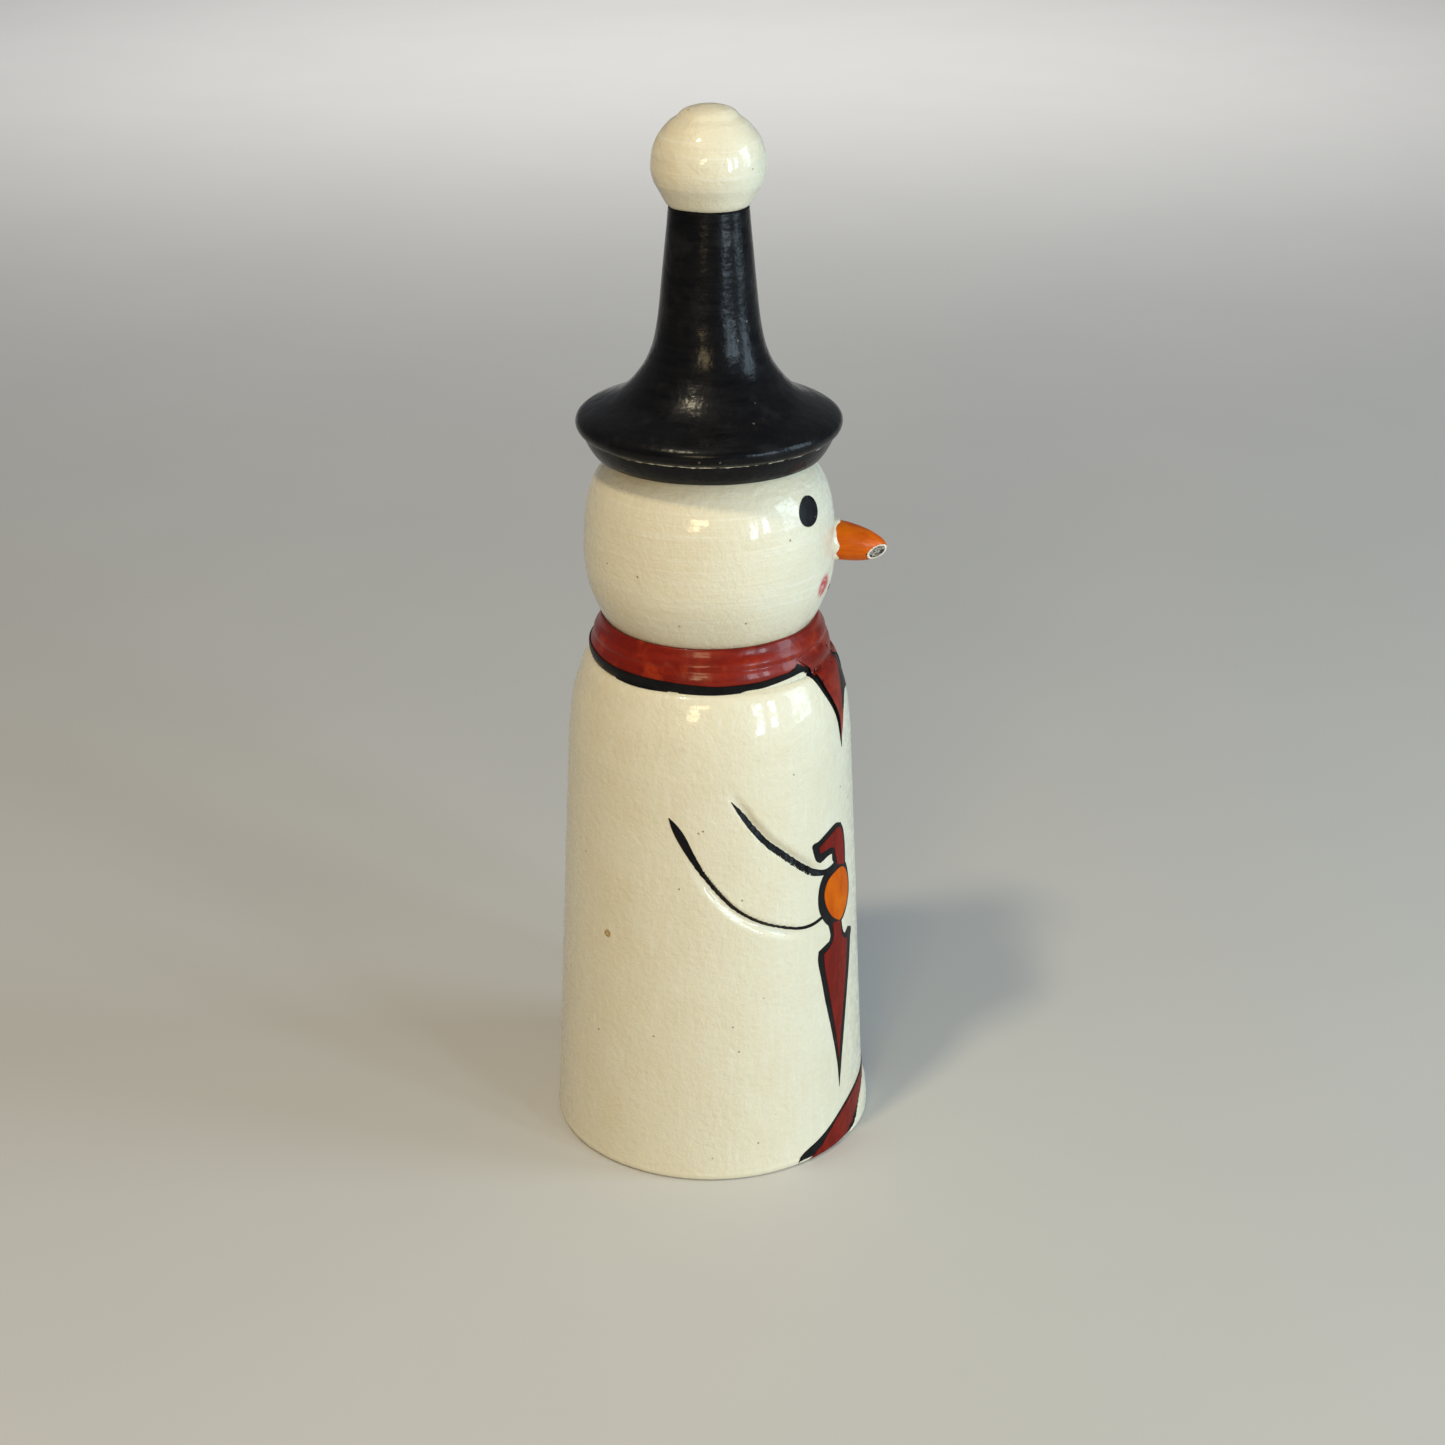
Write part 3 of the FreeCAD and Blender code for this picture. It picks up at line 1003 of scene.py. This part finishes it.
scarf = {
    "bandTop": [(44.5, 151.9), (47.7, 151.3), (50.3, 151), (57.3, 150.8), (63.7, 150.4), (75, 150.2),
                (87, 150.1), (98, 150.5), (109, 150.8), (122, 150.9), (137, 151), (148, 151.2),
                (162, 151.6), (180, 151.4)],
    "bandFoot": [(40.5, 149.7), (43, 149.8), (50, 149.4), (57.4, 148.9), (64, 148.4), (70, 148.2),
                 (76, 148), (87, 147.8), (98, 147.9), (109, 148), (118, 147.8), (129, 147.7),
                 (146, 148.1), (160, 148.6), (180, 148.5)],
    "edge": [
        [(46, 149.7), (40.3, 149.7)],
        [(40.3, 149.7), (38.6, 149), (35.3, 146.4), (31.5, 142), (27.6, 137.3), (25, 132.6),
         (23.2, 124.4)],
        [(23.2, 124.4), (21.6, 129), (19.3, 131.8), (16.2, 134.4), (12.3, 136.7)],
        [(12.3, 136.7), (8, 137.5), (3, 136.9), (-3, 135.4), (-11, 132.2), (-17, 129), (-23.2, 124.4)],
        [(-23.2, 124.4), (-25, 132.6), (-27.6, 137.3), (-31.5, 142), (-35.3, 146.4), (-38.6, 149),
         (-40.3, 149.7)],
        [(-40.3, 149.7), (-46, 149.7)],
        [(-46, 149.7), (-44.6, 152.1), (-43.6, 152.4), (-40, 151)],
        [(-40, 151), (-20, 150.4), (0, 150.2), (20, 150.4), (40, 151)],
        [(40, 151), (43.6, 152.4), (44.6, 152.1), (46, 149.7)],
    ],
    "shoulder": [
        [(74, 147.4), (73, 148.5), (64, 149.1), (57, 149.6), (50, 150.1), (43, 150.3), (39.4, 150.1)],
        [(39.4, 150.1), (36.8, 148.4), (36.5, 147.2)],
        [(36.5, 147.2), (45, 146.9), (60, 146.9), (74, 147.4)],
    ],
    "right": [
        [(43.6, 153.4), (41.6, 152.6), (39.6, 151.6), (36.2, 150.1)],
        [(36.2, 150.1), (32.9, 147.3), (30.6, 143.5), (27.8, 139.7), (25.2, 135), (24, 130.6),
         (22.8, 125.6)],
        [(22.8, 125.6), (21.6, 131.4), (20.4, 135.8), (18.1, 138.9), (15.6, 141.6), (12.3, 144.3),
         (8.6, 146.8)],
        [(8.6, 146.8), (8.8, 149), (13, 151.6), (19, 153.6)],
        [(19, 153.6), (29, 154.8), (43.6, 153.4)],
    ],
    "left": [
        [(-43.6, 153.4), (-41.6, 152.6), (-39.6, 151.6), (-36.2, 150.1)],
        [(-36.2, 150.1), (-32.9, 147.3), (-30.6, 143.5), (-27.8, 139.7), (-25, 135), (-23.5, 130.6),
         (-22.9, 126.6)],
        [(-22.9, 126.6), (-18, 132.8), (-11, 139.2), (-4, 144.6), (4, 147.4), (12.4, 149)],
        [(12.4, 149), (14.4, 151.4), (16.8, 153.4)],
        [(16.8, 153.4), (-10, 154), (-29, 154.8), (-43.6, 153.4)],
    ],
    "rightRise": 0.85,
    "leftRise": 0.45,
    "bandRise": 0.38,
    "edgeRise": 0.16,
    "shoulderRise": 0.06,
    "cell": 1.0,  # the films are cut into strips this wide
    "fullBetween": (125, 134, 147.5, 154.5),
    "rimFoot": 152.2,
}


def chestUnderlay():
    # the gown and the ring as one surface for the scarf to lie on, with the joint between them filled
    copies = []
    for piece in (gownPiece, collarPiece):
        pick(piece)
        bpy.ops.object.duplicate()
        copies.append(bpy.context.object)
    filler = [(31.0, 147.0), (32.8, 147.3), (32.8, 148.7), (31.0, 149.0), (31.0, 147.0)]
    copies.append(turnWood("jointFiller", filler, 160))
    for copy in copies:
        copy.select_set(True)
    bpy.ops.object.join()
    return bpy.context.object


def bandArt():
    # the black line under the ring, all the way round the back
    runs = (rounded(flat(scarf[run]), 1.0) for run in ("bandTop", "bandFoot"))
    top, foot = ([tuple(point) for point in run] for run in runs)
    girth = 2 * math.pi * artRadius
    over = top + [(-girth - x, height) for x, height in top[-2::-1]]
    back = foot + [(-girth - x, height) for x, height in foot[-2::-1]]
    return over + back[::-1]


def layOver(name, art, rise, material, slot, **settings):
    return paintOn(name, art, underlay, rise, material, slot, cell=scarf["cell"], **settings)


underlay = chestUnderlay()
shoulderArt, edgeArt = shape(*scarf["shoulder"]), shape(*scarf["edge"])
for side, sideName in sides:
    art = onSide(side, shoulderArt)
    layOver("shoulder" + sideName, art, scarf["shoulderRise"], gownPaint, "white_enamel")
layOver("scarfBand", bandArt(), scarf["bandRise"], linePaint, "black_enamel")
layOver("scarfEndOutline", edgeArt, scarf["edgeRise"], linePaint, "black_enamel")
for side, node in (("right", "scarf_end_right"), ("left", "scarf_end_left")):
    slip = layOver("scarfEnd" + side.title(), shape(*scarf[side]), scarf[side + "Rise"], scarfPaint,
                   "red_enamel", sunk=0.5, thin=scarf["fullBetween"])
    slip.data.materials.append(linePaint)
    for face in slip.data.polygons:
        outward = face.normal.dot(face.center.xy.to_3d().normalized())
        face.material_index = int(abs(outward) < 0.5 and face.center.z < scarf["rimFoot"] * mm)
    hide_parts(node)
bpy.data.objects.remove(underlay)
print("stage: scarf laid")

# the dowels stay as they come
for node in ("neck_dowel", "hat_dowel", "pompom_dowel"):
    paint(frame["nodes"][node], dowelWood)

studio = {
    "floorSize": 14.0,
    "floorColour": rgb(0.58, 0.57, 0.55),
    "world": (0.62, 0.64, 0.68, 1.0),
    "worldStrength": 0.28,
    "lens": 63.85,
    "cameraAt": (-0.6694, -0.0036, 0.4223),
    "cameraTilt": 90 - 23.97,
    "middle": (0, 0, 0.15),
    # name: place, size, power, colour
    "lamps": {
        "windowNear": ((-1.08, -0.94, 0.41), (0.20, 0.46), 4.8, (0.68, 0.87, 1.0)),
        "windowMiddle": ((-0.84, -1.157, 0.43), (0.14, 0.36), 4.2, (0.68, 0.87, 1.0)),
        "windowFar": ((-0.20, -1.42, 0.52), (0.5, 0.8), 10.5, (0.65, 0.86, 1.0)),
        "warmLampUpper": ((-1.15, 0.17, 0.64), (0.32, 0.17), 2.9, (1.0, 0.78, 0.44)),
        "warmLampLower": ((-1.16, 0.27, 0.47), (0.20, 0.10), 1.5, (1.0, 0.78, 0.44)),
        "ceiling": ((-0.35, 0.25, 1.35), (1.0, 1.0), 1.6, (1.0, 0.93, 0.78)),
        "ceilingSpot": ((-0.37, 0.30, 1.20), (0.09, 0.09), 4.6, (1.0, 0.87, 0.62)),
        "farGlow": ((2.0, 0.0, 1.2), (1.6, 1.6), 24, (1.0, 1.0, 1.0)),
    },
    "farGlowTarget": (2.7, 0.0, 0.0),
}


def makeFloor():
    deselectAll()
    bpy.ops.mesh.primitive_plane_add(size=studio["floorSize"], location=(0, 0, 0))
    floor = bpy.context.object
    floor.name = "floor"
    finish = Finish("floorPaper", Roughness=0.7)
    mottle = finish.cloudy((9, 9, 9), detail=2.0)
    lighter = rgb(*[1.06 * c for c in studio["floorColour"][:3]])
    finish.set("Base Color", finish.mix(mottle, studio["floorColour"], lighter))
    paint(floor, finish.material)


def makeLamp(name, place, size, power, colour):
    lamp = bpy.data.lights.new(name, "AREA")
    lamp.shape = "RECTANGLE"
    lamp.size, lamp.size_y = size
    lamp.energy = power
    lamp.color = colour
    lampObject = bpy.data.objects.new(name, lamp)
    bpy.context.scene.collection.objects.link(lampObject)
    lampObject.location = place
    target = studio.get(name + "Target", studio["middle"])
    lampObject.rotation_euler = (Vector(target) - Vector(place)).to_track_quat("-Z", "Y").to_euler()


def makeCamera():
    camera = bpy.data.cameras.new("camera")
    camera.lens = studio["lens"]
    camera.sensor_width = 36
    cameraObject = bpy.data.objects.new("camera", camera)
    bpy.context.scene.collection.objects.link(cameraObject)
    cameraObject.location = studio["cameraAt"]
    cameraObject.rotation_euler = (math.radians(studio["cameraTilt"]), 0, math.radians(-90))
    bpy.context.scene.camera = cameraObject


makeFloor()
for name, lamp in studio["lamps"].items():
    makeLamp(name, *lamp)
world = bpy.data.worlds.new("studio")
world.use_nodes = True
background = world.node_tree.nodes["Background"]
background.inputs["Color"].default_value = studio["world"]
background.inputs["Strength"].default_value = studio["worldStrength"]
bpy.context.scene.world = world
makeCamera()
bpy.context.scene.view_settings.view_transform = "Standard"
print("stage: studio set")
